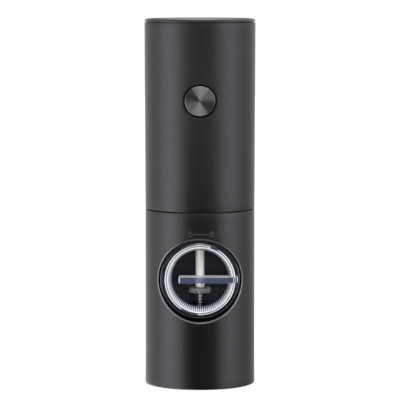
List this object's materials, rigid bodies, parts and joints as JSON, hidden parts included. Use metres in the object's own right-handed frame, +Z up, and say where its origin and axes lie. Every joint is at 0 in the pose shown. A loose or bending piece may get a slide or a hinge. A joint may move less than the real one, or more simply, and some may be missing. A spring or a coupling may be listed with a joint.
{
  "type": "battery pepper mill",
  "caption": "Slim black cylindrical battery pepper mill: thumb button on the upper half, clear bayonet refill lid on the lower half, ceramic burrs, planetary drive, lift-out battery pack.",
  "frame": {"origin": "middle of the foot, on the surface that it stands on", "axes": "+Z up the mill's axis, -Y out of the refill port and the button, +X to the right seen from the front"},
  "size_m": [0.0554, 0.0554, 0.183],
  "materials": {
    "soft_black": "soft-touch matt black with a fine grain",
    "inner_black": "moulded black plastic, satin",
    "spun_metal": "spun metal with concentric turning marks",
    "clear_plastic": "clear polished plastic",
    "silicone": "translucent grey silicone",
    "cream_plastic": "off-white plastic, satin",
    "hazy_plastic": "hazy translucent plastic",
    "ceramic": "unglazed off-white ceramic",
    "steel": "plated steel",
    "brass": "turned brass",
    "nylon": "natural nylon",
    "circuit_board": "green circuit board",
    "magnet": "ferrite, dark grey",
    "armature_copper": "enamelled copper windings on laminations",
    "cell_wrap": "plain coloured cell wrap",
    "red_wire": "PVC insulation",
    "black_wire": "PVC insulation"
  },
  "bodies": {
    "lower_half": {"lower_housing": "soft_black", "pepper_chamber": "inner_black", "chamber_top": "inner_black", "shaft_bush": "brass", "outer_burr": "ceramic", "grinder_housing": "inner_black", "base_ring": "inner_black", "base_screw_1": "steel", "base_screw_2": "steel", "base_screw_3": "steel", "bayonet_ring": "inner_black"},
    "lid_gasket": {"lid_seal": "silicone"},
    "refill_lid": {"lid": "clear_plastic"},
    "drive_line": {"drive_shaft": "steel", "drive_head": "nylon", "shaft_sleeve": "cream_plastic", "shaft_collar": "hazy_plastic", "burr_spring": "steel"},
    "burr_cone": {"inner_burr": "ceramic"},
    "grind_adjuster": {"adjust_knob": "inner_black"},
    "upper_half": {"upper_housing": "soft_black", "chassis": "inner_black", "gearbox_case": "inner_black", "ring_gear": "nylon", "gearbox_cover": "inner_black", "motor_can": "steel", "motor_magnet": "magnet", "motor_end_cap": "inner_black", "motor_bracket": "inner_black", "bracket_screw_1": "steel", "bracket_screw_2": "steel", "bracket_screw_3": "steel", "battery_sleeve": "inner_black", "bay_contact": "brass", "switch_holder": "inner_black", "switch_board": "circuit_board", "tact_switch": "inner_black", "lead_red": "red_wire", "lead_black": "black_wire"},
    "output_stage": {"output_carrier": "nylon"},
    "output_gear_a": {"output_planet_a": "nylon"},
    "output_gear_b": {"output_planet_b": "nylon"},
    "output_gear_c": {"output_planet_c": "nylon"},
    "first_stage": {"first_carrier": "nylon"},
    "first_gear_a": {"first_planet_a": "nylon"},
    "first_gear_b": {"first_planet_b": "nylon"},
    "first_gear_c": {"first_planet_c": "nylon"},
    "motor_rotor": {"motor_armature": "armature_copper", "motor_pinion": "brass"},
    "thumb_button": {"button_cap": "spun_metal", "button_plunger": "inner_black", "button_spring": "steel"},
    "battery_pack": {"top_cap": "soft_black", "battery_carrier": "nylon", "battery_1": "cell_wrap", "battery_2": "cell_wrap", "battery_3": "cell_wrap", "battery_4": "cell_wrap"}
  },
  "joints": [
    {"name": "lid_pull", "type": "slide", "parent": "lower_half", "child": "lid_gasket", "axis": [0, -1, 0], "range_m": [0, 0.035]},
    {"name": "lid_turn", "type": "hinge", "parent": "lid_gasket", "child": "refill_lid", "pos_m": [0, -0.0165, 0.0542], "axis": [0, -1, 0], "range_deg": [0, 30]},
    {"name": "shaft_spin", "type": "hinge", "parent": "lower_half", "child": "drive_line", "pos_m": [0, 0, 0.05], "axis": [0, 0, 1], "continuous": true},
    {"name": "burr_lift", "type": "slide", "parent": "drive_line", "child": "burr_cone", "axis": [0, 0, 1], "range_m": [-0.000375, 0]},
    {"name": "adjust_turn", "type": "hinge", "parent": "burr_cone", "child": "grind_adjuster", "pos_m": [0, 0, 0.006], "axis": [0, 0, 1], "range_deg": [-270, 0]},
    {"name": "upper_lift", "type": "slide", "parent": "lower_half", "child": "upper_half", "axis": [0, 0, 1], "range_m": [0, 0.035]},
    {"name": "output_spin", "type": "hinge", "parent": "upper_half", "child": "output_stage", "pos_m": [0, 0, 0.09], "axis": [0, 0, 1], "continuous": true},
    {"name": "output_gear_a_spin", "type": "hinge", "parent": "output_stage", "child": "output_gear_a", "pos_m": [0.0075, 0, 0.096], "axis": [0, 0, 1], "continuous": true},
    {"name": "output_gear_b_spin", "type": "hinge", "parent": "output_stage", "child": "output_gear_b", "pos_m": [-0.00375, 0.0065, 0.096], "axis": [0, 0, 1], "continuous": true},
    {"name": "output_gear_c_spin", "type": "hinge", "parent": "output_stage", "child": "output_gear_c", "pos_m": [-0.00375, -0.0065, 0.096], "axis": [0, 0, 1], "continuous": true},
    {"name": "first_stage_spin", "type": "hinge", "parent": "upper_half", "child": "first_stage", "pos_m": [0, 0, 0.099], "axis": [0, 0, 1], "continuous": true},
    {"name": "first_gear_a_spin", "type": "hinge", "parent": "first_stage", "child": "first_gear_a", "pos_m": [0.0075, 0, 0.101], "axis": [0, 0, 1], "continuous": true},
    {"name": "first_gear_b_spin", "type": "hinge", "parent": "first_stage", "child": "first_gear_b", "pos_m": [-0.00375, 0.0065, 0.101], "axis": [0, 0, 1], "continuous": true},
    {"name": "first_gear_c_spin", "type": "hinge", "parent": "first_stage", "child": "first_gear_c", "pos_m": [-0.00375, -0.0065, 0.101], "axis": [0, 0, 1], "continuous": true},
    {"name": "motor_spin", "type": "hinge", "parent": "upper_half", "child": "motor_rotor", "pos_m": [0, 0, 0.115], "axis": [0, 0, 1], "continuous": true},
    {"name": "button_press", "type": "slide", "parent": "upper_half", "child": "thumb_button", "axis": [0, 1, 0], "range_m": [0, 0.001], "stiffness_N_per_m": 800, "springref_m": -0.0005},
    {"name": "battery_lift", "type": "slide", "parent": "upper_half", "child": "battery_pack", "axis": [0, 0, 1], "range_m": [0, 0.055]}
  ],
  "couplings": [
    {"joint": "shaft_spin", "follows": "motor_spin", "ratio": 0.04},
    {"joint": "output_spin", "follows": "motor_spin", "ratio": 0.04},
    {"joint": "output_gear_a_spin", "follows": "motor_spin", "ratio": -0.10667},
    {"joint": "output_gear_b_spin", "follows": "motor_spin", "ratio": -0.10667},
    {"joint": "output_gear_c_spin", "follows": "motor_spin", "ratio": -0.10667},
    {"joint": "first_stage_spin", "follows": "motor_spin", "ratio": 0.2},
    {"joint": "first_gear_a_spin", "follows": "motor_spin", "ratio": -0.53333},
    {"joint": "first_gear_b_spin", "follows": "motor_spin", "ratio": -0.53333},
    {"joint": "first_gear_c_spin", "follows": "motor_spin", "ratio": -0.53333},
    {"joint": "adjust_turn", "follows": "burr_lift", "rad_per_m": 12566}
  ]
}
